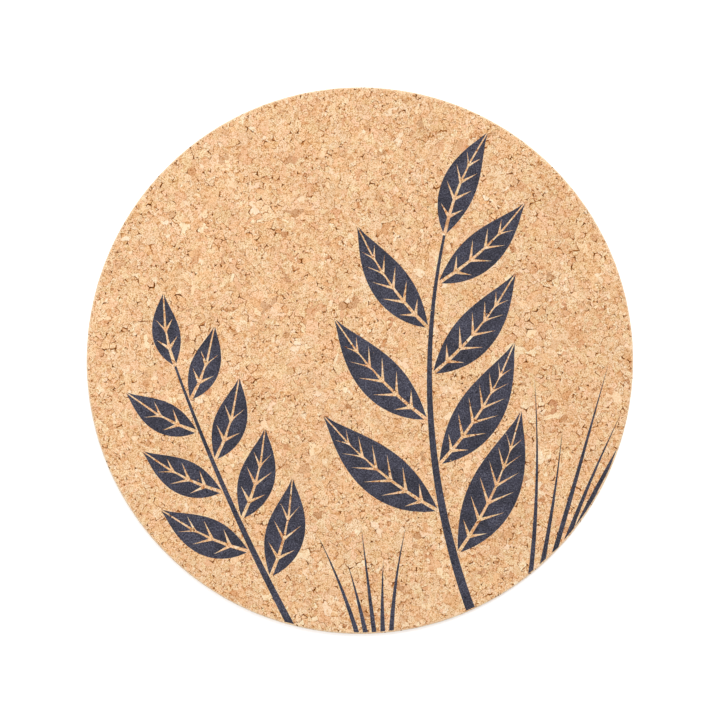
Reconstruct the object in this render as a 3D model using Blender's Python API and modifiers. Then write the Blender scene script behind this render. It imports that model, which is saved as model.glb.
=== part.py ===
"""A round cork placemat with a leaf print, modelled at its real size.

Metres, +Z up. The origin is the centre of the underside. The cork disc is one solid, and each
island of the printed ink film is a thin solid of its own, seated on the disc's upper face.
"""

import math

import bmesh
import bpy
from mathutils import Vector

# Cork disc
DISC_DIAMETER = 0.290
DISC_THICKNESS = 0.004
EDGE_ROUNDING = 0.001
ROUNDING_LIMIT = 0.45
ROUNDING_STEPS = 3
DISC_SIDES = 128
SHARP_ANGLE = math.radians(40)

# Ink film
INK_THICKNESS = 0.0001
INK_SEAT_GAP = 0.0003
BLEED = 0.008
RIM_MARGIN = 0.004

# Carved lines that leave bare cork inside a leaf
RIB_WIDTH = 0.0018
RIB_TIP_WIDTH = 0.0006
VEIN_WIDTH = 0.0023
VEIN_PITCH = 0.0092
VEIN_ANGLE = math.radians(44)
VEIN_REACH = 0.78
MARGIN_STEPS = 14

# What all leaves share
LEAF_WIDEST = 0.44
LEAF_ANGLE = math.radians(50)
LEAF_BEND = math.radians(22)
LEAF_STEM_GAP = 0.0012
LEAF_SPACING = 0.003
SHORTEST_LEAF = 0.012
STEM_STEPS = 16

# Tall branch, from the lower edge up the middle. Its first leaf is set out from the edge,
# its last leaf from the stem's tip.
TALL_STEM_LENGTH = 0.201
TALL_STEM_WIDTH = 0.0050
TALL_STEM_TIP_WIDTH = 0.0014
TALL_RIM_ANGLE = math.radians(-66)
TALL_HEADING = math.radians(110)
TALL_TURN = math.radians(-32)
TALL_LEAVES = 7
TALL_FIRST_LEAF = 0.031
TALL_LAST_LEAF = 0.0248
TALL_LEAF_LENGTH = 0.086
TALL_TOP_LEAF_LENGTH = 0.058

# Low branch, from the lower edge up the left side, set out in the same way
LOW_STEM_LENGTH = 0.149
LOW_STEM_WIDTH = 0.0038
LOW_STEM_TIP_WIDTH = 0.0012
LOW_RIM_ANGLE = math.radians(-105)
LOW_HEADING = math.radians(118)
LOW_TURN = math.radians(-8)
LOW_LEAVES = 7
LOW_FIRST_LEAF = 0.027
LOW_LAST_LEAF = 0.0188
LOW_LEAF_LENGTH = 0.056
LOW_TOP_LEAF_LENGTH = 0.038

# Grass tufts, fanned out from the lower edge
BLADE_WIDTH = 0.0026
BLADE_GAP = 0.0020
BLADE_FAN = math.radians(5)
BLADE_TURN = math.radians(5)
SHORT_BLADE_SHARE = 0.68
BLADE_STEPS = 9
RIGHT_TUFT_BLADES = 5
RIGHT_TUFT_LENGTH = 0.104
RIGHT_TUFT_ANGLE = math.radians(-44)
RIGHT_TUFT_HEADING = math.radians(74)
LEFT_TUFT_BLADES = 5
LEFT_TUFT_LENGTH = 0.056
LEFT_TUFT_ANGLE = math.radians(-87)
LEFT_TUFT_HEADING = math.radians(97)

# Finishes
CORK_COLOUR = (0.82, 0.53, 0.30, 1.0)
CORK_ROUGHNESS = 0.85
INK_COLOUR = (0.066, 0.065, 0.090, 1.0)
INK_ROUGHNESS = 0.70

# Worked out from the sizes above
DISC_RADIUS = DISC_DIAMETER / 2
ROUNDING = min(EDGE_ROUNDING, ROUNDING_LIMIT * DISC_THICKNESS)
PRINT_RADIUS = DISC_RADIUS - ROUNDING
INK_MIDDLE = DISC_THICKNESS + INK_SEAT_GAP + INK_THICKNESS / 2


def unit(angle):
    """The flat vector of length one that points along an angle."""
    return Vector((math.cos(angle), math.sin(angle)))


class Line:
    """A line on the printed face that starts at a point and turns evenly along its length."""

    def __init__(self, start, heading, length, turn):
        self.start = start
        self.heading = heading
        self.length = length
        self.turn = turn

    def heading_at(self, distance):
        return self.heading + self.turn * distance / self.length

    def point(self, distance, offset=0.0):
        """The point at a distance along the line, moved to its left by an offset."""
        half_turn = self.turn * distance / self.length / 2
        chord = distance
        if half_turn:
            chord = distance * math.sin(half_turn) / half_turn
        left = self.heading_at(distance) + math.pi / 2
        return self.start + chord * unit(self.heading + half_turn) + offset * unit(left)


def leaf_profile(share):
    """A leaf's width at a share of its length, as a share of its greatest width."""
    taper = (1 - LEAF_WIDEST) / LEAF_WIDEST
    return (share / LEAF_WIDEST) * (max(1 - share, 0.0) / (1 - LEAF_WIDEST)) ** taper


def half_blade(line, side, width):
    """The outline of one half of a leaf, with its veins cut in from the rib."""

    def rib(distance):
        share = distance / line.length
        return (RIB_WIDTH + (RIB_TIP_WIDTH - RIB_WIDTH) * share) / 2

    def half_width(distance):
        return rib(distance) + (width - RIB_WIDTH) / 2 * leaf_profile(distance / line.length)

    outline = []
    for step in range(MARGIN_STEPS + 1):
        distance = line.length * step / MARGIN_STEPS
        outline.append(line.point(distance, side * half_width(distance)))
    vein_count = int(line.length / VEIN_PITCH) - 2
    for vein in range(vein_count, 0, -1):
        mouth = vein * line.length / (vein_count + 2)
        end = mouth + VEIN_REACH * half_width(mouth) / math.tan(VEIN_ANGLE)
        outline.append(line.point(mouth + VEIN_WIDTH / 2, side * rib(mouth)))
        outline.append(line.point(end, side * VEIN_REACH * half_width(end)))
        outline.append(line.point(mouth - VEIN_WIDTH / 2, side * rib(mouth)))
    return outline


def stroke(line, base_width, tip_width, steps):
    """The outline of a stroke that runs off the print's edge and narrows evenly to its tip."""
    left = []
    right = []
    for step in range(steps + 1):
        distance = (line.length + BLEED) * step / steps - BLEED
        half_width = (base_width + (tip_width - base_width) * distance / line.length) / 2
        left.append(line.point(distance, half_width))
        right.append(line.point(distance, -half_width))
    return left + right[::-1]


def room_for_leaf(base, heading):
    """How far a leaf can run from its base before it comes close to the print's edge."""
    limit = PRINT_RADIUS - RIM_MARGIN
    if base.length >= limit:
        return 0.0
    along = base.dot(unit(heading))
    return math.sqrt(along ** 2 + limit ** 2 - base.length_squared) - along


def clear_scene():
    for old in list(bpy.data.objects):
        bpy.data.objects.remove(old, do_unlink=True)


def new_collection(name):
    collection = bpy.data.collections.new(name)
    bpy.context.scene.collection.children.link(collection)
    return collection


def new_material(name, colour, roughness):
    material = bpy.data.materials.new(name)
    material.use_nodes = True
    shader = material.node_tree.nodes["Principled BSDF"]
    shader.inputs["Base Color"].default_value = colour
    shader.inputs["Roughness"].default_value = roughness
    shader.inputs["Metallic"].default_value = 0.0
    return material


def move_to(collection, thing):
    for holder in list(thing.users_collection):
        holder.objects.unlink(thing)
    collection.objects.link(thing)


def make_cork_disc(collection, material):
    bpy.ops.mesh.primitive_cylinder_add(
        vertices=DISC_SIDES, radius=DISC_RADIUS, depth=DISC_THICKNESS,
        location=(0, 0, DISC_THICKNESS / 2))
    disc = bpy.context.object
    disc.name = "cork_disc"
    disc.data.materials.append(material)
    disc.data.shade_smooth()
    disc.data.set_sharp_from_angle(angle=SHARP_ANGLE)
    bevel = disc.modifiers.new("rounded_edge", 'BEVEL')
    bevel.width = ROUNDING
    bevel.segments = ROUNDING_STEPS
    bevel.limit_method = 'ANGLE'
    bevel.angle_limit = SHARP_ANGLE
    move_to(collection, disc)
    return disc


def make_print_area(collection):
    """The round area that takes ink. It trims what runs off the edge."""
    bpy.ops.mesh.primitive_cylinder_add(
        vertices=DISC_SIDES, radius=PRINT_RADIUS, depth=DISC_THICKNESS, location=(0, 0, INK_MIDDLE))
    area = bpy.context.object
    area.name = "print_area"
    area.hide_render = True
    area.display_type = 'WIRE'
    move_to(collection, area)
    return area


def film_curve(name, outline):
    """An ink film as a filled flat curve."""
    curve = bpy.data.curves.new(name, 'CURVE')
    curve.dimensions = '2D'
    curve.fill_mode = 'BOTH'
    curve.extrude = INK_THICKNESS / 2
    spline = curve.splines.new('POLY')
    spline.points.add(len(outline) - 1)
    for point, place in zip(spline.points, outline):
        point.co = (place.x, place.y, 0, 1)
    spline.use_cyclic_u = True
    film = bpy.data.objects.new(name, curve)
    film.location.z = INK_MIDDLE
    return film


def as_mesh(film):
    """A curve film as a mesh object of the same name and place, with its caps welded on."""
    bpy.context.view_layer.update()
    depsgraph = bpy.context.evaluated_depsgraph_get()
    mesh = bpy.data.meshes.new_from_object(film.evaluated_get(depsgraph))
    shape = bmesh.new()
    shape.from_mesh(mesh)
    bmesh.ops.remove_doubles(shape, verts=shape.verts, dist=INK_THICKNESS / 10)
    shape.to_mesh(mesh)
    shape.free()
    name = film.name
    place = film.matrix_world.copy()
    bpy.data.objects.remove(film, do_unlink=True)
    solid = bpy.data.objects.new(name, mesh)
    solid.matrix_world = place
    return solid


class Printer:
    """Lays ink islands on the disc, trimmed to the print area where they run off it."""

    def __init__(self, collection, material, print_area):
        self.collection = collection
        self.material = material
        self.print_area = print_area

    def lay(self, name, outline):
        film = film_curve(name, outline)
        self.collection.objects.link(film)
        if max(place.length for place in outline) > PRINT_RADIUS:
            film = as_mesh(film)
            self.collection.objects.link(film)
            trim = film.modifiers.new("trim_to_print_area", 'BOOLEAN')
            trim.operation = 'INTERSECT'
            trim.solver = 'EXACT'
            trim.object = self.print_area
        film.data.materials.append(self.material)


def print_leaf(printer, name, base, heading, bend, full_length, slenderness):
    """A leaf of its full length, or as much shorter as the edge leaves room for."""
    length = min(full_length, room_for_leaf(base, heading + bend / 2))
    if length < SHORTEST_LEAF:
        return
    leaf = Line(base, heading, length, bend)
    printer.lay(name + "_left_half", half_blade(leaf, 1, length * slenderness))
    printer.lay(name + "_right_half", half_blade(leaf, -1, length * slenderness))


def print_branch(printer, name, stem, widths, leaf_count, leaf_places, leaf_length, top_leaf_length):
    """A stem that runs in from the edge, with leaves on alternate sides and one leaf on its end."""
    stem_width, stem_tip_width = widths
    first_leaf, last_leaf = leaf_places
    pitch = (stem.length - first_leaf - last_leaf) / (leaf_count - 1)
    printer.lay(name + "_stem", stroke(stem, stem_width, stem_tip_width, STEM_STEPS))
    crowding = leaf_length / 2 * abs(stem.turn) * 2 * pitch / stem.length
    leaf_width = 2 * pitch * math.sin(LEAF_ANGLE) - crowding - LEAF_SPACING
    slenderness = leaf_width / leaf_length
    for number in range(leaf_count):
        station = first_leaf + number * pitch
        share = station / stem.length
        side = 1 if number % 2 else -1
        stem_half = (stem_width + (stem_tip_width - stem_width) * share) / 2
        base = stem.point(station, side * (stem_half + LEAF_STEM_GAP))
        heading = stem.heading_at(station) + side * LEAF_ANGLE
        full_length = leaf_length + (top_leaf_length - leaf_length) * share
        leaf_name = f"{name}_leaf_{number + 1:02d}"
        print_leaf(printer, leaf_name, base, heading, -side * LEAF_BEND, full_length, slenderness)
    end = stem.point(stem.length + LEAF_STEM_GAP)
    heading = stem.heading_at(stem.length)
    bend = math.copysign(LEAF_BEND, stem.turn)
    print_leaf(printer, name + "_top_leaf", end, heading, bend, top_leaf_length, slenderness)


def print_tuft(printer, name, rim_angle, middle_heading, blade_count, blade_length):
    """Thin blades that fan out from the edge, long and short by turns."""
    along = unit(middle_heading)
    across = unit(middle_heading - math.pi / 2)
    for number in range(blade_count):
        place = number - (blade_count - 1) / 2
        aside = PRINT_RADIUS * across.dot(unit(rim_angle)) + place * (BLADE_WIDTH + BLADE_GAP)
        base = aside * across - math.sqrt(PRINT_RADIUS ** 2 - aside ** 2) * along
        length = blade_length * SHORT_BLADE_SHARE if number % 2 else blade_length
        blade = Line(base, middle_heading - place * BLADE_FAN, length, -place * BLADE_TURN)
        outline = stroke(blade, BLADE_WIDTH, 0.0, BLADE_STEPS)
        del outline[BLADE_STEPS]
        printer.lay(f"{name}_blade_{number + 1:02d}", outline)


def main():
    clear_scene()
    parts = new_collection("cork_placemat")
    cutters = new_collection("cutters")
    cork = new_material("cork", CORK_COLOUR, CORK_ROUGHNESS)
    ink = new_material("print_ink", INK_COLOUR, INK_ROUGHNESS)
    make_cork_disc(parts, cork)
    printer = Printer(parts, ink, make_print_area(cutters))
    tall_stem = Line(PRINT_RADIUS * unit(TALL_RIM_ANGLE), TALL_HEADING, TALL_STEM_LENGTH, TALL_TURN)
    print_branch(printer, "tall_branch", tall_stem, (TALL_STEM_WIDTH, TALL_STEM_TIP_WIDTH),
                 TALL_LEAVES, (TALL_FIRST_LEAF, TALL_LAST_LEAF),
                 TALL_LEAF_LENGTH, TALL_TOP_LEAF_LENGTH)
    low_stem = Line(PRINT_RADIUS * unit(LOW_RIM_ANGLE), LOW_HEADING, LOW_STEM_LENGTH, LOW_TURN)
    print_branch(printer, "low_branch", low_stem, (LOW_STEM_WIDTH, LOW_STEM_TIP_WIDTH),
                 LOW_LEAVES, (LOW_FIRST_LEAF, LOW_LAST_LEAF),
                 LOW_LEAF_LENGTH, LOW_TOP_LEAF_LENGTH)
    print_tuft(printer, "right_tuft", RIGHT_TUFT_ANGLE, RIGHT_TUFT_HEADING,
               RIGHT_TUFT_BLADES, RIGHT_TUFT_LENGTH)
    print_tuft(printer, "left_tuft", LEFT_TUFT_ANGLE, LEFT_TUFT_HEADING,
               LEFT_TUFT_BLADES, LEFT_TUFT_LENGTH)


if __name__ == "__main__":
    main()
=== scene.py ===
"""The looks of a round cork placemat with a leaf print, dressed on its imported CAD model.

The cork is one closed mesh of pressed granules: large flakes with crumbs between them, fine grooves
where they meet and open voids at some of their joints. Its face is one sheet that folds over the
disc's edge and meets the underside. Each island of the print is a thin film of ink that lies on
that relief. Metres, +Z up, in the frame of the CAD model.
"""

from dataclasses import dataclass
import math

import bpy
import numpy as np
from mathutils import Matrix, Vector
from mathutils.bvhtree import BVHTree
from mathutils.geometry import delaunay_2d_cdt
from mathutils.noise import noise_vector, seed_set


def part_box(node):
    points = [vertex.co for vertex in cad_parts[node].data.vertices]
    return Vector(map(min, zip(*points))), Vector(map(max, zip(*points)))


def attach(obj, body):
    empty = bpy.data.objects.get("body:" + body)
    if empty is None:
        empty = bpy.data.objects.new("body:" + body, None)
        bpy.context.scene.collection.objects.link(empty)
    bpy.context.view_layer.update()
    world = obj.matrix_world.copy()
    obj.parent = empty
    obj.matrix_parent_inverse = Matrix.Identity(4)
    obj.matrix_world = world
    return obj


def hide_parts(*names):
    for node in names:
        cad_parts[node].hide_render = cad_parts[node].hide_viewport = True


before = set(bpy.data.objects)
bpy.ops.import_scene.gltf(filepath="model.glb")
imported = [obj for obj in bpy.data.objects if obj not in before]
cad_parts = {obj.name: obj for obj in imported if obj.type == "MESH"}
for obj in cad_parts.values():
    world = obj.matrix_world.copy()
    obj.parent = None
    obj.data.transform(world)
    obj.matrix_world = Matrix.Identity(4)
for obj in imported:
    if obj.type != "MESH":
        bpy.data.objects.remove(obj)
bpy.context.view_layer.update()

# The cork's place, from the CAD model. Its face reaches up to the ink films' seats.
INK_NODES = sorted(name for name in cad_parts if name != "cork_disc")
CORK_LOW, CORK_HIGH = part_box("cork_disc")
RADIUS = CORK_HIGH.x
UNDERSIDE = CORK_LOW.z
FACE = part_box(INK_NODES[0])[0].z
ROUNDING = 0.0010
FLAT_RADIUS = RADIUS - ROUNDING
WALL = FACE - UNDERSIDE - 2 * ROUNDING
QUARTER = math.pi / 2 * ROUNDING

# Cells, which the granules are made of. Some seeds clear their neighbours away and become flakes.
SEED = 41
CELL = 0.0016
UNDERSIDE_CELL = 0.0028
SHAKE = 1.0  # of a cell
RIM_MARGIN = 0.25  # of a cell
FLAKE_SHARE = 0.10
FLAKE_REACH = (1.1, 2.6)  # cells
FLAKE_SKEW = 1.6  # above 1, so that small flakes outnumber large ones
FLAKE_STRETCH = (1.0, 1.5)
MIRROR_BAND = 4  # cells
RING = 900  # points
SMALLEST_SPAN = 1e-11  # square metres
MERGE_CHANCE = 0.05
LARGEST_GRANULE = 3  # cells
FINE_BAND = 0.0012  # along the flat face's edge, with finer triangles

# Triangulation: which triangles are kept, and how close two points are to count as one
WHOLE_HULL = 0
WITHIN_BORDER = 1
SAME_POINT = 1e-9

# Relief of the cork
GRANULE_RELIEF = 0.00006
GROOVE = 0.00004
OPEN_SHARE = 0.050
UNDERSIDE_OPEN_SHARE = 0.03
SLIT_SHARE = 0.0012
VOID_WIDTH = (0.00006, 0.00024)
VOID_DEPTH = (0.00012, 0.00080)
WIDEST_INSET = 0.45  # of the way to a cell's centre
SHARP_ANGLE = math.radians(50)

# Values on the cork's mesh by which its shader darkens seams and the stains round voids, and paints
# shade in the voids
SEAM_DARKNESS = (0.54, 1.15)
SEAM_REACH = 0.0011
VOID_SHADE = (0.35, 1.0)
HALO = 0.12
STAIN_REACH = 0.0011

# Where the cork's parts lie on its texture map
UV_MAP = "OFBake"
UV_FACE_CENTRE = (0.355, 0.355)
UV_FACE_WIDTH = 0.70
UV_UNDERSIDE_CENTRE = (0.855, 0.855)
UV_UNDERSIDE_WIDTH = 0.27

# Ink film
FILM = 0.00006
FILM_EDGE = 0.00003
FILM_SUNK = 0.00003
FILM_SAG = 0.00007
CLEAR_OF_OUTLINE = 0.00025
ABOVE_RELIEF = 1.0

# Outline of an ink film
PLACE_DIGITS = 7
FACES_UP = 0.5
OUTLINE_STEP = 0.0006
CORNER_ANGLE = math.radians(30)
RAGGED = 0.00009
RAGGED_WAVE = 0.0011

# Camera, with the photograph's frame: the disc is 547 of its 720 pixels wide
IMAGE_PIXELS = 720
DISC_PIXELS = 547.3
DISC_OFFSET_PIXELS = (-0.1, 0.6)
LENS = 85.0
SENSOR = 36.0

# Light, as shares of a level at which a colour renders as it is written
WORLD_SHARE = 0.50
KEY = {"share": 0.43, "azimuth": 74, "elevation": 54, "distance": 4.5, "size": 1.8}
FILL = {"share": 0.14, "azimuth": 165, "elevation": 62, "distance": 0.7, "size": 0.4}

# Floor. Its lift to white grows from the near to the far end of the lit floor.
FLOOR_SIZE = 12.0
FLOOR_WHITE = 0.94
FLOOR_LIFT = 0.42
FAR_FLOOR_LIFT = 0.62
LIT_FLOOR = (0.3, 2.0)


def srgb(red, green, blue):
    """A colour given in display values from 0 to 255, as the linear values that shaders take."""
    return tuple(((value / 255 + 0.055) / 1.055) ** 2.4 for value in (red, green, blue)) + (1.0,)


def grey(level):
    return (level, level, level, 1.0)


def painted(stops):
    """A ramp's stops with their display values made linear."""
    return [(place, srgb(*colour)) for place, colour in stops]


def cross(a, b):
    """How far each row of b lies to the left of its row of a, as the area that they span."""
    return a[:, 0] * b[:, 1] - a[:, 1] * b[:, 0]


def between(limits, shares):
    low, high = limits
    return low + (high - low) * shares


def triangle_sides(triangles):
    return np.concatenate([triangles[:, [0, 1]], triangles[:, [1, 2]], triangles[:, [2, 0]]])


def triangulate(points, borders, kept):
    """Triangles over flat points: where their corners lie, the triangles, and each corner's point."""
    vectors = [Vector(point) for point in points]
    places, _, triangles, sources, _, _ = delaunay_2d_cdt(vectors, [], borders, kept, SAME_POINT)
    source = np.array([found[0] for found in sources])
    return np.array([tuple(place) for place in places]), np.array(triangles), source


def link(thing):
    bpy.context.scene.collection.objects.link(thing)
    return thing


def scatter(radius, spacing, even_from, rng):
    """Seed points on a shaken triangular grid that fill a circle, cleared round the large flakes.

    Beyond the radius even_from no seed is cleared away.
    """
    rows = np.arange(-radius, radius, spacing * math.sqrt(3) / 2)
    columns = np.arange(-radius, radius, spacing)
    x, y = np.meshgrid(columns, rows)
    x[1::2] += spacing / 2
    points = np.stack([x.ravel(), y.ravel()], 1)
    points += spacing * SHAKE * (rng.random(points.shape) - 0.5)
    points = points[np.hypot(*points.T) < radius - RIM_MARGIN * spacing]
    inner = np.hypot(*points.T) < even_from
    kept = np.ones(len(points), bool)
    for index in rng.permutation(np.flatnonzero(inner))[:round(FLAKE_SHARE * inner.sum())]:
        reach = spacing * between(FLAKE_REACH, rng.random() ** FLAKE_SKEW)
        stretch = between(FLAKE_STRETCH, rng.random())
        turn = math.pi * rng.random()
        if kept[index]:
            away = points - points[index]
            along = away[:, 0] * math.cos(turn) + away[:, 1] * math.sin(turn)
            aside = away[:, 1] * math.cos(turn) - away[:, 0] * math.sin(turn)
            kept[inner & (np.hypot(along / stretch, aside * stretch) < reach)] = False
            kept[index] = True
    return points[kept]


class Cells:
    """A Voronoi diagram that fills a circle, with its rim on a ring of even points.

    corners are the ring's points and then the joints between cells. Each row of sides is a cell,
    two corners that follow each other anticlockwise round it, and the cell across, -1 at the rim.
    """

    def __init__(self, radius, spacing, centres):
        self.centres = centres
        self.count = len(centres)
        far = np.hypot(*centres.T)
        near_rim = far > radius - MIRROR_BAND * spacing
        mirrored = centres[near_rim] * (2 * radius / far[near_rim] - 1)[:, None]
        seeds = np.concatenate([centres, mirrored])
        _, triangles, source = triangulate(seeds, [], WHOLE_HULL)
        triangles = source[triangles]
        joints = self.circumcentres(seeds, triangles)
        beyond = triangles >= self.count
        at_rim = beyond.any(1) & ~beyond.all(1)
        within = ~beyond.any(1)
        angle = np.arctan2(joints[:, 1], joints[:, 0])
        corner_of = np.full(len(triangles), -1)
        corner_of[at_rim] = np.round(angle[at_rim] / math.tau * RING).astype(int) % RING
        corner_of[within] = RING + np.arange(within.sum())
        turn = math.tau * np.arange(RING) / RING
        ring = radius * np.stack([np.cos(turn), np.sin(turn)], 1)
        self.corners = np.concatenate([ring, joints[within]])
        self.sides = self.find_sides(triangles, corner_of)

    @staticmethod
    def circumcentres(seeds, triangles):
        """The joint of the three cells whose seeds are a triangle's corners."""
        a = seeds[triangles[:, 0]]
        b = seeds[triangles[:, 1]] - a
        c = seeds[triangles[:, 2]] - a
        b_squared = (b ** 2).sum(1)
        c_squared = (c ** 2).sum(1)
        x = c[:, 1] * b_squared - b[:, 1] * c_squared
        y = b[:, 0] * c_squared - c[:, 0] * b_squared
        return a + np.stack([x, y], 1) / (2 * cross(b, c))[:, None]

    def find_sides(self, triangles, corner_of):
        """The rows of sides. Two triangles on the same pair of seeds give the two ends of one."""
        pairs = triangle_sides(triangles)
        corner = np.tile(corner_of, 3)
        low = pairs.min(1)
        high = pairs.max(1)
        order = np.lexsort((high, low))
        low, high, corner = low[order], high[order], corner[order]
        shared = np.flatnonzero((low[1:] == low[:-1]) & (high[1:] == high[:-1]))
        cell, across, start, end = low[shared], high[shared], corner[shared], corner[shared + 1]
        real = (cell < self.count) & (start != end)
        cell, across, start, end = cell[real], across[real], start[real], end[real]
        inner = across < self.count
        rim_cell = self.find_rim(cell[~inner], start[~inner], end[~inner])
        cell, across, start, end = cell[inner], across[inner], start[inner], end[inner]
        centre = self.centres[cell]
        ahead = cross(self.corners[start] - centre, self.corners[end] - centre) > 0
        start, end = np.where(ahead, start, end), np.where(ahead, end, start)
        ring = np.arange(RING)
        rim = np.stack([rim_cell, ring, (ring + 1) % RING, np.full(RING, -1)], 1)
        forward = np.stack([cell, start, end, across], 1)
        back = np.stack([across, end, start, cell], 1)
        return np.concatenate([forward, back, rim])

    @staticmethod
    def find_rim(cell, start, end):
        """The cell behind each stretch of the ring."""
        behind = np.full(RING, -1)
        for owner, a, b in zip(cell, start, end):
            if (b - a) % RING > RING // 2:
                a, b = b, a
            behind[(a + np.arange((b - a) % RING)) % RING] = owner
        for place in np.flatnonzero(behind < 0):
            behind[place] = behind[place - 1]
        return behind

    def folded(self):
        """Cells that the ring folds over, where a joint lies close to it."""
        cell, start, end, _ = self.sides.T
        centre = self.centres[cell]
        span = cross(self.corners[start] - centre, self.corners[end] - centre)
        return np.unique(cell[span < SMALLEST_SPAN])


def fill_with_cells(radius, spacing, even_from, rng):
    """Cells from scattered seeds, without the few seeds whose cells are folded."""
    centres = scatter(radius, spacing, even_from, rng)
    while True:
        cells = Cells(radius, spacing, centres)
        folded = cells.folded()
        if not len(folded):
            return cells
        centres = np.delete(centres, folded, axis=0)


def merge_cells(cells, rng):
    """Numbers the granule of each cell. A granule is one cell or a few neighbours."""
    granule = np.arange(cells.count)
    members = {cell: [cell] for cell in range(cells.count)}
    inner = cells.sides[cells.sides[:, 3] >= 0]
    for cell, _, _, across in inner[rng.permutation(len(inner))]:
        one, other = granule[cell], granule[across]
        if one == other or len(members[one]) + len(members[other]) > LARGEST_GRANULE:
            continue
        if rng.random() < MERGE_CHANCE:
            granule[members[other]] = one
            members[one] += members.pop(other)
    return granule


# The pieces of a triangle with none, the first, the first two or all of its sides halved. Corners
# are numbered 0 to 2, and the middles of the sides after them 3 to 5.
HALVINGS = (
    ((0, 1, 2),),
    ((0, 3, 2), (3, 1, 2)),
    ((3, 1, 4), (0, 3, 4), (0, 4, 2)),
    ((0, 3, 5), (3, 1, 4), (5, 4, 2), (3, 4, 5)),
)


@dataclass
class Patch:
    """One part of the cork's mesh: vertices, triangles, and the values that its shader reads.

    tone and turn belong to triangles, seam and uv to their corners, depth and the pale rub of the
    rounded edge (wear with a painted highlight) to vertices.
    """

    xyz: np.ndarray
    triangles: np.ndarray
    tone: np.ndarray
    turn: np.ndarray
    seam: np.ndarray
    depth: np.ndarray
    wear_and_highlight: np.ndarray
    uv: np.ndarray


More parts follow.
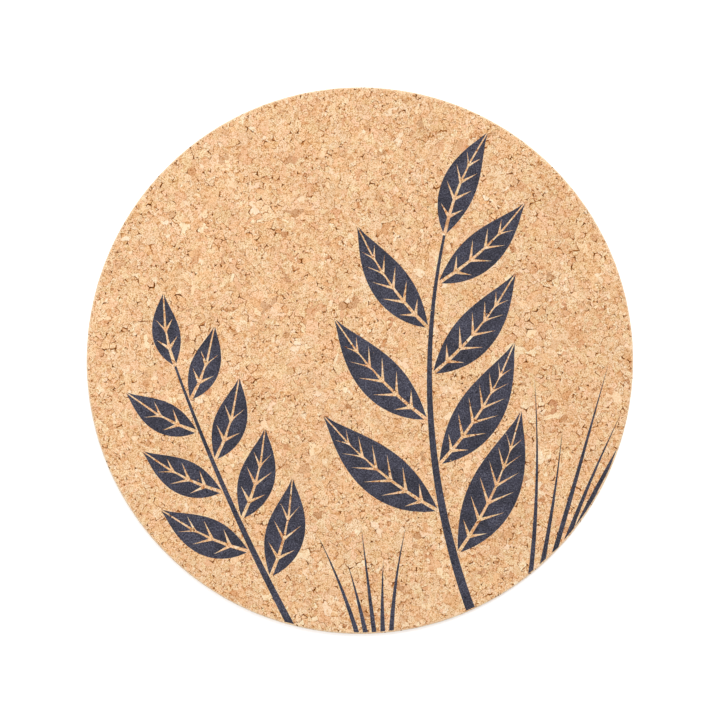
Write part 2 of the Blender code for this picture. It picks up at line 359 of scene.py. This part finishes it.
class Sheet:
    """A round sheet of granules in relief. Heights are at or below zero.

    Its vertices are the cells' corners, then their centres, then the points round open voids.
    """

    def __init__(self, radius, spacing, even_from, open_share, rng):
        self.radius = radius
        self.cells = fill_with_cells(radius, spacing, even_from, rng)
        self.granule = merge_cells(self.cells, rng)
        self.tone = rng.random(self.cells.count)[self.granule]
        self.turn = rng.random(self.cells.count)[self.granule]
        cell, _, _, across = self.cells.sides.T
        self.parted = (across < 0) | (self.granule[cell] != self.granule[across])
        self.find_voids(open_share, rng)
        self.set_heights(rng)
        self.draw_back_from_voids()
        self.make_triangles()
        self.shade(rng)

    def find_voids(self, open_share, rng):
        """Opens some of the joints where granules meet, away from the ring."""
        _, start, end, _ = self.cells.sides.T
        count = len(self.cells.corners)
        self.on_seam = np.zeros(count, bool)
        self.on_seam[start[self.parted]] = True
        self.is_open = self.on_seam & (rng.random(count) < open_share)
        slit = self.parted & (rng.random(len(start)) < SLIT_SHARE)
        self.is_open[start[slit]] = True
        self.is_open[end[slit]] = True
        beside_ring = (start < RING) | (end < RING)
        self.is_open[start[beside_ring]] = False
        self.is_open[end[beside_ring]] = False
        self.vigour = rng.random(count)

    def set_heights(self, rng):
        """One level for each granule, grooves where granules meet, and the voids' floors."""
        cell, start, _, _ = self.cells.sides.T
        self.cell_height = -GRANULE_RELIEF * rng.random(self.cells.count)[self.granule]
        height = np.zeros(len(self.cells.corners))
        np.minimum.at(height, start, self.cell_height[cell])
        height[self.on_seam] -= GROOVE * rng.random(self.on_seam.sum())
        height[:RING] = -GRANULE_RELIEF
        height[self.is_open] = -between(VOID_DEPTH, self.vigour[self.is_open])
        self.corner_height = height

    def draw_back_from_voids(self):
        """Where a joint is open, each cell there ends at a point on the way to its centre."""
        cells = self.cells
        count = len(cells.corners)
        cell, start, _, _ = cells.sides.T
        self.keys = np.unique((cell * count + start)[self.is_open[start]])
        self.drawn_cell, corner = np.divmod(self.keys, count)
        inward = cells.centres[self.drawn_cell] - cells.corners[corner]
        reach = np.hypot(*inward.T)
        step = np.minimum(between(VOID_WIDTH, self.vigour[corner]), WIDEST_INSET * reach)
        self.drawn = cells.corners[corner] + inward * (step / reach)[:, None]

    def edge_of(self, cell, corner):
        """The vertex where a cell's flat top ends at a corner."""
        count = len(self.cells.corners)
        found = count + self.cells.count + np.searchsorted(self.keys, cell * count + corner)
        return np.where(self.is_open[corner], found, corner)

    def make_triangles(self):
        """Fans over the cells' tops, and walls down into the voids."""
        cells = self.cells
        cell, start, end, _ = cells.sides.T
        from_edge = self.edge_of(cell, start)
        to_edge = self.edge_of(cell, end)
        from_open = self.is_open[start]
        to_open = self.is_open[end]
        walled = from_open | to_open
        wide = from_open & to_open
        tops = np.stack([len(cells.corners) + cell, from_edge, to_edge], 1)
        walls = np.stack([start, end, np.where(to_open, to_edge, from_edge)], 1)[walled]
        wide_walls = np.stack([start, to_edge, from_edge], 1)[wide]
        self.triangles = np.concatenate([tops, walls, wide_walls])
        self.owner = np.concatenate([cell, cell[walled], cell[wide]])
        self.xy = np.concatenate([cells.corners, cells.centres, self.drawn])
        drawn_height = self.cell_height[self.drawn_cell]
        self.height = np.concatenate([self.corner_height, self.cell_height, drawn_height])

    def shade(self, rng):
        """The seam value at the corners of tops, and the depth value by which the shader paints shade in
        the voids and stains round them.

        Both fall off by the distance towards a cell's centre, so that seams and stains aren't wider
        on large cells.
        """
        cells = self.cells
        cell, start, end, _ = cells.sides.T
        side = cells.corners[end] - cells.corners[start]
        inset = np.abs(cross(side, cells.centres[cell] - cells.corners[start])) / np.hypot(*side.T)
        darkness = between(SEAM_DARKNESS, rng.random(len(cells.corners)))
        darkness[self.is_open] = SEAM_DARKNESS[1]
        middle = (darkness[start] + darkness[end]) / 2 - inset / SEAM_REACH
        seam = np.stack([middle, darkness[start], darkness[end]], 1)
        self.seam = np.zeros(self.triangles.shape)
        self.seam[:len(cell)] = np.where(self.parted[:, None], seam, 0)
        void = np.where(self.is_open, between(VOID_SHADE, self.vigour), 0)
        reach = np.zeros(cells.count)
        np.maximum.at(reach, cell, inset)
        beyond_stain = np.minimum(0, HALO * (1 - reach / STAIN_REACH))
        self.depth = np.concatenate([void, beyond_stain, np.full(len(self.drawn), HALO)])

    def refine(self, radius):
        """Halves the triangles' sides beyond a radius, except those on the ring."""
        count = len(self.xy)
        following = np.roll(self.triangles, -1, axis=1)
        low = np.minimum(self.triangles, following)
        high = np.maximum(self.triangles, following)
        keys, side = np.unique(low * count + high, return_inverse=True)
        ends = np.stack(np.divmod(keys, count), 1)
        halved = (np.hypot(*self.xy.T)[ends].mean(1) > radius) & (ends >= RING).any(1)
        middle = np.where(halved, count - 1 + np.cumsum(halved), -1)[side.reshape(low.shape)]
        self.xy, self.height, self.depth = (
            np.concatenate([values, values[ends[halved]].mean(1)])
            for values in (self.xy, self.height, self.depth))
        middle_seam = (self.seam + np.roll(self.seam, -1, axis=1)) / 2

        # Each triangle's corners are turned so that its halved sides come first.
        number = (middle >= 0).sum(1)
        first = np.where(number == 2, np.argmin(middle, axis=1) + 1, np.argmax(middle, axis=1))
        order = (np.arange(3) + np.where(number == 3, 0, first)[:, None]) % 3
        order = np.concatenate([order, order + 3], 1)
        corners = np.take_along_axis(np.concatenate([self.triangles, middle], 1), order, 1)
        seams = np.take_along_axis(np.concatenate([self.seam, middle_seam], 1), order, 1)
        split = [(np.flatnonzero(number == halves), np.array(pieces))
                 for halves, pieces in enumerate(HALVINGS)]

        def in_pieces(values):
            return np.concatenate([values[rows][:, pieces].reshape(-1, 3) for rows, pieces in split])

        self.triangles = in_pieces(corners)
        self.seam = in_pieces(seams)
        owners = [np.repeat(self.owner[rows], len(pieces)) for rows, pieces in split]
        self.owner = np.concatenate(owners)

    def patch(self, xyz, wear_and_highlight, side, uv_centre, uv_width):
        """The sheet as a patch with its vertices in place. It faces up for side 1, down for -1."""
        place = np.array(uv_centre) + self.xy * (uv_width / (2 * self.radius))
        turned = slice(None, None, side)
        return Patch(xyz, self.triangles[:, turned], self.tone[self.owner], self.turn[self.owner],
                     self.seam[:, turned], self.depth, wear_and_highlight, place[self.triangles][:, turned])


def fold_over_edge(sheet):
    """Places of a sheet's vertices when it bends down over the disc's edge, and how much pale rub each
    gets there, partly wear and partly a painted highlight.

    Past the flat face, the sheet runs round the upper edge, down the wall and round the lower edge.
    """
    far = np.hypot(*sheet.xy.T)
    past = np.maximum(far - FLAT_RADIUS, 0)
    turn = (np.minimum(past, QUARTER) + np.maximum(past - QUARTER - WALL, 0)) / ROUNDING
    out = np.minimum(far, FLAT_RADIUS) + (ROUNDING + sheet.height) * np.sin(turn)
    down = ROUNDING + np.clip(past - QUARTER, 0, WALL) - (ROUNDING + sheet.height) * np.cos(turn)
    # Pale rub on the rounded edge: partly wear, partly a painted highlight of light on the edge
    wear_and_highlight = np.sin(2 * np.minimum(past, QUARTER) / ROUNDING)
    return np.column_stack([sheet.xy * (out / far)[:, None], FACE - down]), wear_and_highlight


def add_values(mesh, name, domain, values):
    values = np.ascontiguousarray(values, np.float32).ravel()
    mesh.attributes.new(name, "FLOAT", domain).data.foreach_set("value", values)


def finish_piece(name, mesh, material):
    """A smooth piece of a mesh, with sharp edges where its faces turn far."""
    mesh.shade_smooth()
    mesh.set_sharp_from_angle(angle=SHARP_ANGLE)
    mesh.materials.append(material)
    return link(bpy.data.objects.new(name, mesh))


def make_cork(face, material, rng):
    """The cork as one closed mesh: a sheet folded over the edge, and the underside within its ring."""
    even_from = FLAT_RADIUS - 2 * UNDERSIDE_CELL
    underside = Sheet(FLAT_RADIUS, UNDERSIDE_CELL, even_from, UNDERSIDE_OPEN_SHARE, rng)
    xyz, wear_and_highlight = fold_over_edge(face)
    upper = face.patch(xyz, wear_and_highlight, 1, UV_FACE_CENTRE, UV_FACE_WIDTH)
    xyz = np.column_stack([underside.xy, UNDERSIDE - underside.height])
    lower = underside.patch(xyz, np.zeros(len(xyz)), -1, UV_UNDERSIDE_CENTRE, UV_UNDERSIDE_WIDTH)
    on_ring = lower.triangles < RING
    lower.triangles = np.where(on_ring, lower.triangles, lower.triangles + len(upper.xyz) - RING)
    lower.xyz, lower.depth, lower.wear_and_highlight = lower.xyz[RING:], lower.depth[RING:], lower.wear_and_highlight[RING:]

    def joined(name):
        return np.concatenate([getattr(upper, name), getattr(lower, name)])

    mesh = bpy.data.meshes.new("cork_sheet")
    mesh.from_pydata(joined("xyz"), [], joined("triangles"))
    add_values(mesh, "tone", "FACE", joined("tone"))
    add_values(mesh, "turn", "FACE", joined("turn"))
    add_values(mesh, "seam", "CORNER", joined("seam"))
    add_values(mesh, "depth", "POINT", joined("depth"))
    add_values(mesh, "wear_and_highlight", "POINT", joined("wear_and_highlight"))
    uv = np.ascontiguousarray(joined("uv"), np.float32)
    mesh.uv_layers.new(name=UV_MAP).uv.foreach_set("vector", uv.ravel())
    return finish_piece("cork_sheet", mesh, material)


def outline_of(node):
    """The points round a flat CAD node's upper face, anticlockwise."""
    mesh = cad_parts[node].data
    places = [tuple(round(value, PLACE_DIGITS) for value in vertex.co.xy) for vertex in mesh.vertices]
    edges = set()
    for polygon in mesh.polygons:
        if polygon.normal.z < FACES_UP:
            continue
        corners = [places[index] for index in polygon.vertices]
        for start, end in zip(corners, corners[1:] + corners[:1]):
            if (end, start) in edges:
                edges.remove((end, start))
            else:
                edges.add((start, end))
    following = dict(edges)
    first = min(following)
    outline = [first]
    while following[outline[-1]] != first:
        outline.append(following[outline[-1]])
    return np.array(outline)


def on_curve(start, leave, end, arrive, t):
    """The point at t, from 0 to 1, on a curve that leaves start and arrives at end as given."""
    return ((2 * t ** 3 - 3 * t ** 2 + 1) * start + (t ** 3 - 2 * t ** 2 + t) * leave
            + (3 * t ** 2 - 2 * t ** 3) * end + (t ** 3 - t ** 2) * arrive)


def smooth_outline(points):
    """A close row of points through an outline's points, curved except at its corners."""
    before = np.roll(points, 1, axis=0)
    after = np.roll(points, -1, axis=0)
    into = points - before
    out = after - points
    bend = np.abs(np.arctan2(cross(into, out), (into * out).sum(1)))
    sharp = bend > CORNER_ANGLE
    tangent = (after - before) / 2
    row = []
    for index in range(len(points)):
        following = (index + 1) % len(points)
        start, end = points[index], points[following]
        span = end - start
        leave = span if sharp[index] else tangent[index]
        arrive = span if sharp[following] else tangent[following]
        length = math.hypot(*span)
        leave = leave * (length / math.hypot(*leave))
        arrive = arrive * (length / math.hypot(*arrive))
        steps = max(1, round(length / OUTLINE_STEP))
        row += [on_curve(start, leave, end, arrive, step / steps) for step in range(steps)]
    return np.array(row)


def ragged_outline(points):
    """An outline that wavers a little, as ink does on a grainy face."""
    waver = [noise_vector(Vector((x, y, 0.0)) / RAGGED_WAVE).xy for x, y in points]
    return points + RAGGED * np.array(waver)


def inside(places, outline):
    """Which places lie within an outline."""
    x, y = places[:, None, 0], places[:, None, 1]
    start = outline[None]
    end = np.roll(outline, -1, axis=0)[None]
    spans = (start[..., 1] > y) != (end[..., 1] > y)
    rise = np.where(spans, end[..., 1] - start[..., 1], 1.0)
    at = start[..., 0] + (y - start[..., 1]) / rise * (end[..., 0] - start[..., 0])
    return (spans & (x < at)).sum(1) % 2 == 1


def relief_of(sheet):
    """A search tree over a sheet's relief, laid out flat."""
    xyz = np.column_stack([sheet.xy, sheet.height])
    return BVHTree.FromPolygons(xyz.tolist(), sheet.triangles.tolist())


def lay_ink(outline, face, relief):
    """A film's points, their upper and lower levels, and their depth value.

    The points are the outline's and then the cork's vertices within it. Over a void the film sags.
    """
    boxed = ((face.xy > outline.min(0)) & (face.xy < outline.max(0))).all(1)
    places = face.xy[boxed]
    away = np.hypot(*(places[:, None] - outline[None]).transpose(2, 0, 1))
    kept = inside(places, outline) & (away.min(1) > CLEAR_OF_OUTLINE)
    depth = face.depth[boxed][kept]
    height = np.where(depth > HALO, -FILM_SAG * depth, face.height[boxed][kept])
    down = Vector((0.0, 0.0, -1.0))
    found = [relief.ray_cast(Vector((x, y, ABOVE_RELIEF)), down)[0].z for x, y in outline]
    edge_height = np.maximum(found, -FILM_SAG)
    points = np.concatenate([outline, places[kept]])
    upper = FACE + np.concatenate([edge_height + FILM_EDGE, height + FILM])
    lower = FACE + np.concatenate([edge_height, height]) - FILM_SUNK
    return points, upper, lower, np.concatenate([np.zeros(len(outline)), depth])


def make_film(node, face, relief, material):
    """One island of ink, laid on the cork's relief within its CAD node's outline."""
    outline = ragged_outline(smooth_outline(outline_of(node)))
    points, upper, lower, depth = lay_ink(outline, face, relief)
    xy, top, source = triangulate(points, [list(range(len(outline)))], WITHIN_BORDER)
    sides = triangle_sides(top).tolist()
    reverse = {(b, a) for a, b in sides}
    rim = np.array([side for side in sides if tuple(side) not in reverse])
    count = len(xy)
    start, end = rim.T
    walls = [np.stack([end, start, start + count], 1), np.stack([end, start + count, end + count], 1)]
    levels = np.concatenate([upper[source], lower[source]])
    mesh = bpy.data.meshes.new("ink_" + node)
    mesh.from_pydata(np.column_stack([np.tile(xy, (2, 1)), levels]), [],
                     np.concatenate([top, top[:, ::-1] + count, *walls]))
    add_values(mesh, "depth", "POINT", np.tile(depth[source], 2))
    return finish_piece("ink_" + node, mesh, material)


# Sockets of a Mix node that mixes colours
MIX_SHARE, MIX_ONE, MIX_OTHER = 0, 6, 7
MIX_RESULT = 2


class Shader:
    """The nodes of a material or a world, with short ways to add and link them."""

    def __init__(self, owner):
        owner.use_nodes = True
        self.owner = owner
        self.tree = owner.node_tree

    def add(self, kind, inputs=None, **settings):
        """A new node. Inputs are numbers, colours or other nodes' outputs, by socket."""
        node = self.tree.nodes.new("ShaderNode" + kind)
        for name, value in settings.items():
            setattr(node, name, value)
        self.fill(node, inputs or {})
        return node

    def fill(self, node, inputs):
        """Sets or links a node's inputs, by socket."""
        for name, value in inputs.items():
            if isinstance(value, bpy.types.NodeSocket):
                self.tree.links.new(value, node.inputs[name])
            else:
                node.inputs[name].default_value = value

    def attribute(self, name):
        return self.add("Attribute", attribute_name=name).outputs["Fac"]

    def position(self):
        return self.add("TexCoord").outputs["Object"]

    def noise(self, place, wave, detail=2.0, roughness=0.5):
        """Cloudy noise whose patches are about as wide as wave."""
        inputs = {"Vector": place, "Scale": 1 / wave, "Detail": detail, "Roughness": roughness}
        return self.add("TexNoise", inputs).outputs["Fac"]

    def ramp(self, value, stops):
        """Colours by a value. Each stop is a place from 0 to 1 and its colour."""
        node = self.add("ValToRGB", {"Fac": value})
        elements = node.color_ramp.elements
        while len(elements) < len(stops):
            elements.new(0.5)
        for element, (place, colour) in zip(elements, stops):
            element.position = place
            element.color = colour
        return node.outputs["Color"]

    def spread(self, value, low, high):
        """A smooth step from 0 at low to 1 at high."""
        inputs = {"Value": value, "From Min": low, "From Max": high}
        return self.add("MapRange", inputs, interpolation_type="SMOOTHSTEP").outputs["Result"]

    def calculate(self, operation, value, other):
        return self.add("Math", {0: value, 1: other}, operation=operation).outputs["Value"]

    def times(self, value, other):
        return self.calculate("MULTIPLY", value, other)

    def scaled(self, value, scale, offset):
        """A vector or colour times a scale, plus an offset."""
        node = self.add("VectorMath", {0: value, 1: scale, 2: offset}, operation="MULTIPLY_ADD")
        return node.outputs["Vector"]

    def mix(self, share, one, other, blend="MIX"):
        inputs = {MIX_SHARE: share, MIX_ONE: one, MIX_OTHER: other}
        return self.add("Mix", inputs, data_type="RGBA", blend_type=blend).outputs[MIX_RESULT]

    def tint(self, share, colour, factors):
        return self.mix(share, colour, factors, "MULTIPLY")

    def finish(self, colour, texture, roughness, specular, bump_strength, bump_height):
        """The material with its colour. Its roughness and bump follow a texture from 0 to 1."""
        at_low, at_high = roughness
        rough = self.add("MapRange", {"Value": texture, "To Min": at_low, "To Max": at_high})
        bump = self.add("Bump", {"Height": texture, "Strength": bump_strength, "Distance": bump_height})
        self.fill(self.tree.nodes["Principled BSDF"], {
            "Base Color": colour,
            "Roughness": rough.outputs["Result"],
            "Specular IOR Level": specular,
            "Normal": bump.outputs["Normal"],
        })
        return self.owner


# Finish of the cork. Colours are display values, tints are factors on the colour beneath, and an
# edge is where an effect starts and where it is full.
FLAKE_COLOURS = (
    (0.000, (212, 160, 117)),
    (0.014, (228, 174, 128)),
    (0.030, (238, 188, 141)),
    (0.100, (243, 196, 150)),
    (0.250, (246, 202, 156)),
    (0.600, (250, 207, 162)),
    (0.900, (253, 212, 169)),
    (1.000, (255, 222, 182)),
)
HUE_LOW = (1.0, 0.915, 0.835)
HUE_SPAN = (0.0, 0.16, 0.24)
BLUE_SPAN = (0.0, 0.0, 0.11)
GRAIN = {"wave": 0.0006, "detail": 2.0, "roughness": 0.6}
GRAIN_STRETCH = (1.0, 0.75, 1.0)
FIBRE_EDGE = (0.52, 0.66)
FIBRE_TINT = (1.04, 1.27, 1.45, 1.0)
STREAK_TINTS = (
    (0.29, (0.36, 0.22, 0.07, 1.0)),
    (0.39, (0.72, 0.58, 0.39, 1.0)),
    (0.47, (0.95, 0.92, 0.88, 1.0)),
    (0.56, grey(1.0)),
)
STREAKED_TURNS_EDGE = (-0.6, 0.7)
STREAKED_TONES_EDGE = (0.99, 0.92)
CORK_CLOUD_WAVE = 0.02
CORK_CLOUD_TINTS = ((0.3, grey(0.95)), (0.7, grey(1.0)))
CRUMB = 0.0011
CRACK_EDGE = (0.18, 0.05)
CRACK_TINT = (0.74, 0.55, 0.35, 1.0)
CLUSTER_WAVE = 0.0020
CLUSTER_EDGE = (0.51, 0.64)
SEAM_BREAK = -1.4
SEAM_EDGE = (0.06, 0.32)
SEAM_STRENGTH = 0.82
SEAM_COLOUR = (160, 88, 14)
# Pale rub on the rounded edge: partly wear, partly a painted highlight of light on the edge
WEAR_AND_HIGHLIGHT_STRENGTH = 0.7
WEAR_AND_HIGHLIGHT_COLOUR = (255, 233, 200)
STAIN_EDGE = (0.055, 0.115)
STAIN_TINT = (0.86, 0.68, 0.40, 1.0)
# Painted shade in the voids: the deeper, the darker
VOID_SHADE_EDGE = (0.08, 0.15)
VOID_SHADE_COLOURS = (
    (0.05, (194, 126, 44)),
    (0.12, (134, 68, 2)),
    (0.30, (96, 42, 0)),
    (0.55, (66, 26, 0)),
)
CORK_SURFACE = {
    "roughness": (0.92, 0.72),
    "specular": 0.06,
    "bump_strength": 0.5,
    "bump_height": 0.00014,
}


def flake_colour(shader, tone, turn):
    """One colour for each granule, by its tone, with a hue of its own."""
    colour = shader.ramp(tone, painted(FLAKE_COLOURS))
    chance = shader.add("TexWhiteNoise", {"W": turn}, noise_dimensions="1D").outputs
    hue = shader.scaled(chance["Value"], HUE_SPAN, HUE_LOW)
    hue = shader.scaled(chance["Color"], BLUE_SPAN, hue)
    return shader.tint(1.0, colour, hue)


def add_grain(shader, colour, grain, tone, turn):
    """Pale fibres and brown streaks along the grain. Some granules have weaker streaks."""
    colour = shader.tint(shader.spread(grain, *FIBRE_EDGE), colour, FIBRE_TINT)
    by_turn = shader.spread(turn, *STREAKED_TURNS_EDGE)
    by_tone = shader.spread(tone, *STREAKED_TONES_EDGE)
    return shader.tint(shader.times(by_turn, by_tone), colour, shader.ramp(grain, STREAK_TINTS))


def add_cracks(shader, colour, place, turned):
    """Broad clouds, and fine cracks between crumbs, in clusters."""
    cloud = shader.ramp(shader.noise(place, CORK_CLOUD_WAVE), CORK_CLOUD_TINTS)
    colour = shader.tint(1.0, colour, cloud)
    crumbs = shader.add("TexVoronoi", {"Vector": turned, "Scale": 1 / CRUMB}, feature="DISTANCE_TO_EDGE")
    crack = shader.spread(crumbs.outputs["Distance"], *CRACK_EDGE)
    cluster = shader.spread(shader.noise(place, CLUSTER_WAVE), *CLUSTER_EDGE)
    return shader.tint(shader.times(crack, cluster), colour, CRACK_TINT)


def add_seams(shader, colour, grain):
    """Brown seams between granules, which the grain breaks up."""
    broken = shader.calculate("ADD", shader.attribute("seam"), shader.times(grain, SEAM_BREAK))
    seam = shader.times(shader.spread(broken, *SEAM_EDGE), SEAM_STRENGTH)
    return shader.mix(seam, colour, srgb(*SEAM_COLOUR))


def add_wear_and_highlight(shader, colour):
    """A pale rub along the disc's upper edge: partly wear, partly a painted highlight where the rounded
    edge catches the light.
    """
    wear_and_highlight = shader.times(shader.attribute("wear_and_highlight"), WEAR_AND_HIGHLIGHT_STRENGTH)
    return shader.mix(wear_and_highlight, colour, srgb(*WEAR_AND_HIGHLIGHT_COLOUR))


def add_stains_and_void_shade(shader, colour):
    """Painted shade in the voids, darker with depth, and a stain round each of them."""
    depth = shader.attribute("depth")
    colour = shader.tint(shader.spread(depth, *STAIN_EDGE), colour, STAIN_TINT)
    painted_void_shade = shader.ramp(depth, painted(VOID_SHADE_COLOURS))
    return shader.mix(shader.spread(depth, *VOID_SHADE_EDGE), colour, painted_void_shade)


def cork_material():
    """Pressed cork, with the grain of each granule at a turn of its own."""
    shader = Shader(bpy.data.materials.new("cork"))
    tone = shader.attribute("tone")
    turn = shader.attribute("turn")
    place = shader.position()
    inputs = {"Vector": place, "Angle": shader.times(turn, math.tau)}
    turned = shader.add("VectorRotate", inputs, rotation_type="Z_AXIS").outputs["Vector"]
    stretched = shader.add("Mapping", {"Vector": turned, "Scale": GRAIN_STRETCH}).outputs["Vector"]
    grain = shader.noise(stretched, **GRAIN)
    colour = flake_colour(shader, tone, turn)
    colour = add_grain(shader, colour, grain, tone, turn)
    colour = add_cracks(shader, colour, place, turned)
    colour = add_seams(shader, colour, grain)
    colour = add_wear_and_highlight(shader, colour)
    colour = add_stains_and_void_shade(shader, colour)
    return shader.finish(colour, grain, **CORK_SURFACE)


# Finish of the ink, in the same terms
MOTTLE = {"wave": 0.0007, "detail": 3.0}
MOTTLE_COLOURS = ((0.28, (26, 25, 34)), (0.50, (64, 63, 77)), (0.72, (104, 104, 117)))
INK_CLOUD_WAVE = 0.009
INK_CLOUD_TINTS = ((0.34, grey(0.62)), (0.66, grey(1.1)))
# Painted shade where the film sags into a void
SAG_SHADE_EDGE = (0.05, 0.45)
SAG_SHADE_STRENGTH = 0.9
SAG_SHADE_COLOUR = (26, 25, 35)
# Painted shade of small pits in the ink, spread at random
PIT_SHADE = {"wave": 0.0013, "detail": 1.0}
PIT_SHADE_EDGE = (0.34, 0.29)
PIT_SHADE_STRENGTH = 0.9
PIT_SHADE_COLOUR = (24, 23, 33)
PINHOLE_SPACING = 0.0045
PINHOLE_EDGE = (0.06, 0.03)
PINHOLE_STRENGTH = 0.5
PINHOLE_COLOUR = (176, 140, 112)
INK_SURFACE = {
    "roughness": (0.55, 0.80),
    "specular": 0.2,
    "bump_strength": 0.3,
    "bump_height": 0.00006,
}


def ink_material():
    """Matt ink with a fine mottle, painted shade over voids and in small pits, and pinholes that show
    cork.
    """
    shader = Shader(bpy.data.materials.new("print_ink"))
    place = shader.position()
    mottle = shader.noise(place, **MOTTLE)
    cloud = shader.ramp(shader.noise(place, INK_CLOUD_WAVE), INK_CLOUD_TINTS)
    colour = shader.tint(1.0, shader.ramp(mottle, painted(MOTTLE_COLOURS)), cloud)
    sag_shade = shader.spread(shader.attribute("depth"), *SAG_SHADE_EDGE)
    colour = shader.mix(shader.times(sag_shade, SAG_SHADE_STRENGTH), colour, srgb(*SAG_SHADE_COLOUR))
    pit_shade = shader.spread(shader.noise(place, **PIT_SHADE), *PIT_SHADE_EDGE)
    colour = shader.mix(shader.times(pit_shade, PIT_SHADE_STRENGTH), colour, srgb(*PIT_SHADE_COLOUR))
    specks = shader.add("TexVoronoi", {"Vector": place, "Scale": 1 / PINHOLE_SPACING})
    pinhole = shader.spread(specks.outputs["Distance"], *PINHOLE_EDGE)
    colour = shader.mix(shader.times(pinhole, PINHOLE_STRENGTH), colour, srgb(*PINHOLE_COLOUR))
    return shader.finish(colour, mottle, **INK_SURFACE)


def seen_directly(shader):
    """One for rays from the camera, and for those that show the background in gloss or glass."""
    path = shader.add("LightPath").outputs
    seen = shader.calculate("MAXIMUM", path["Is Camera Ray"], path["Is Glossy Ray"])
    return shader.calculate("MAXIMUM", seen, path["Is Transmission Ray"])


def make_world():
    """Even light from all round, which looks white where it is seen."""
    world = bpy.data.worlds.new("studio")
    bpy.context.scene.world = world
    shader = Shader(world)
    inputs = {"Value": seen_directly(shader), "To Min": WORLD_SHARE, "To Max": 1.0}
    strength = shader.add("MapRange", inputs).outputs["Result"]
    shader.fill(shader.tree.nodes["Background"], {"Color": grey(1.0), "Strength": strength})


def floor_material():
    """A matt white that is lifted to the background's white where it is seen."""
    shader = Shader(bpy.data.materials.new("floor_white"))
    away = shader.add("VectorMath", {0: shader.position()}, operation="LENGTH").outputs["Value"]
    near, far = LIT_FLOOR
    inputs = {"Value": away, "From Min": near, "From Max": far}
    inputs.update({"To Min": FLOOR_LIFT, "To Max": FAR_FLOOR_LIFT})
    lift = shader.add("MapRange", inputs).outputs["Result"]
    shader.fill(shader.tree.nodes["Principled BSDF"], {
        "Base Color": grey(FLOOR_WHITE),
        "Roughness": 1.0,
        "Specular IOR Level": 0.0,
        "Emission Color": grey(1.0),
        "Emission Strength": shader.times(seen_directly(shader), lift),
    })
    return shader.owner


def make_floor():
    """A white floor that keeps the object's shadow and meets the white background."""
    mesh = bpy.data.meshes.new("floor")
    half = FLOOR_SIZE / 2
    corners = [(-half, -half), (half, -half), (half, half), (-half, half)]
    mesh.from_pydata([(x, y, UNDERSIDE) for x, y in corners], [], [(0, 1, 2, 3)])
    mesh.materials.append(floor_material())
    link(bpy.data.objects.new("floor", mesh))


def make_lamp(name, share, azimuth, elevation, distance, size):
    """A soft square lamp that faces the middle of the disc. Angles are in degrees.

    Its energy gives a level face the lamp's share of plain light, whatever its distance and angle.
    """
    azimuth, elevation = math.radians(azimuth), math.radians(elevation)
    lamp = bpy.data.lights.new(name, "AREA")
    lamp.size = size
    lamp.energy = share * (math.pi * distance) ** 2 / math.sin(elevation)
    place = link(bpy.data.objects.new(name, lamp))
    level = math.cos(elevation)
    direction = Vector((level * math.cos(azimuth), level * math.sin(azimuth), math.sin(elevation)))
    place.location = direction * distance
    place.rotation_euler = direction.to_track_quat("Z", "Y").to_euler()


def make_camera():
    """A camera straight above, whose frame holds the disc as the photograph does."""
    camera = bpy.data.cameras.new("camera")
    camera.lens = LENS
    camera.sensor_width = SENSOR
    pixel = 2 * RADIUS / DISC_PIXELS
    width = pixel * IMAGE_PIXELS
    place = link(bpy.data.objects.new("camera", camera))
    right, down = DISC_OFFSET_PIXELS
    place.location = (-right * pixel, down * pixel, FACE + width * LENS / SENSOR)
    bpy.context.scene.camera = place


bpy.context.scene.view_settings.view_transform = "Standard"
make_camera()
make_world()
make_floor()
make_lamp("key", **KEY)
make_lamp("fill", **FILL)

seed_set(SEED)
rng = np.random.default_rng(SEED)
face = Sheet(FLAT_RADIUS + 2 * QUARTER + WALL, CELL, FLAT_RADIUS - CELL, OPEN_SHARE, rng)
face.refine(FLAT_RADIUS - FINE_BAND)
cork = make_cork(face, cork_material(), rng)
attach(cork, "root")
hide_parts("cork_disc")

ink = ink_material()
relief = relief_of(face)
for node in INK_NODES:
    film = make_film(node, face, relief, ink)
    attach(film, "root")
    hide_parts(node)
